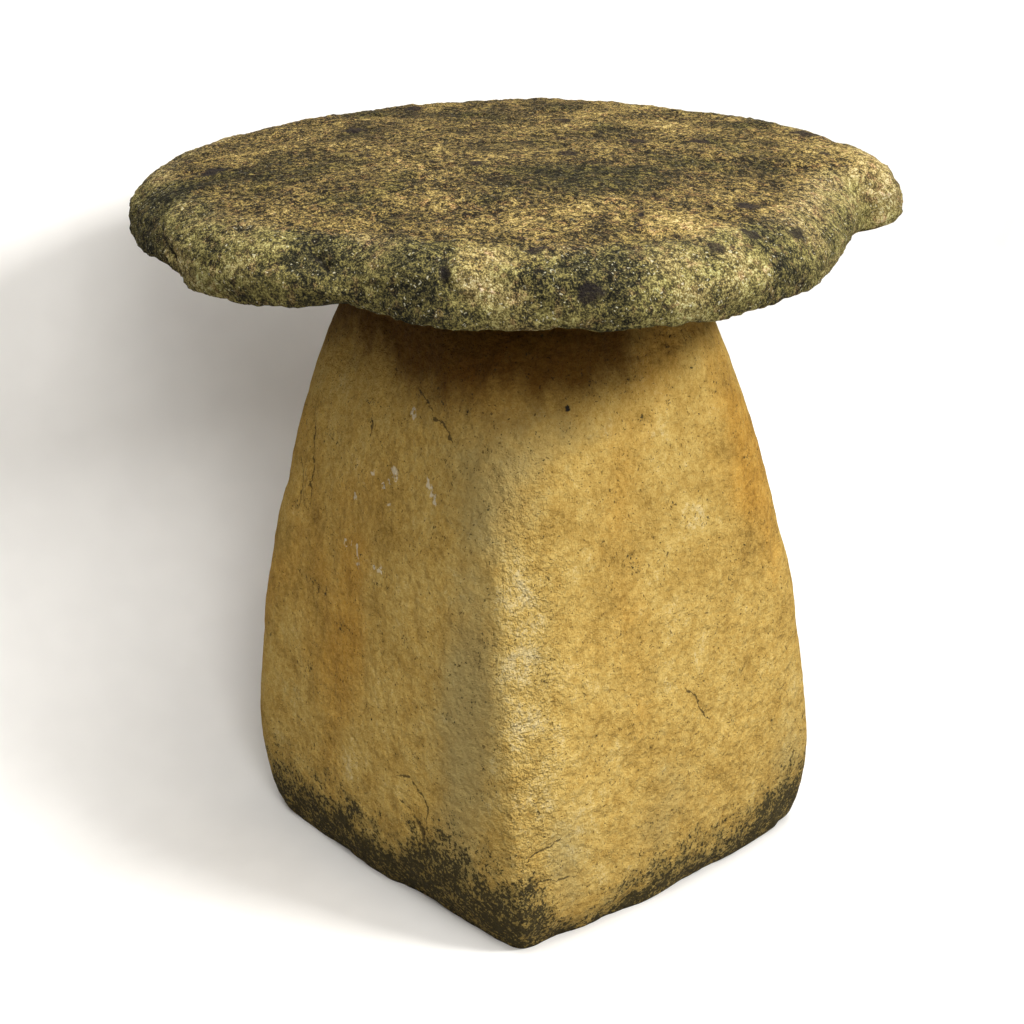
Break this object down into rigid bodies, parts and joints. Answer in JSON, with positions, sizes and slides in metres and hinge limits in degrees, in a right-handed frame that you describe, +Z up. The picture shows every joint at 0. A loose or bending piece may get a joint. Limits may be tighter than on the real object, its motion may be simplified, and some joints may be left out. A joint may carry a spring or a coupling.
{
  "type": "staddle stone",
  "caption": "Squat staddle stone: a square tapering base stone with bowed faces and a loose, low round cap stone, weathered and lichened.",
  "frame": {"origin": "centre of the base stone's flat underside", "axes": "+Z up, with the four faces of the base stone looking along +X, +Y, -X and -Y at the foot"},
  "size_m": [0.5158, 0.5304, 0.5223],
  "materials": {
    "golden_stone": "matt, pitted golden limestone with a dark, mossy foot",
    "lichened_stone": "matt, rough stone, grown over with olive, tan and black lichen"
  },
  "bodies": {
    "root": {"base_stone": "golden_stone", "cap_stone": "lichened_stone"}
  },
  "joints": []
}
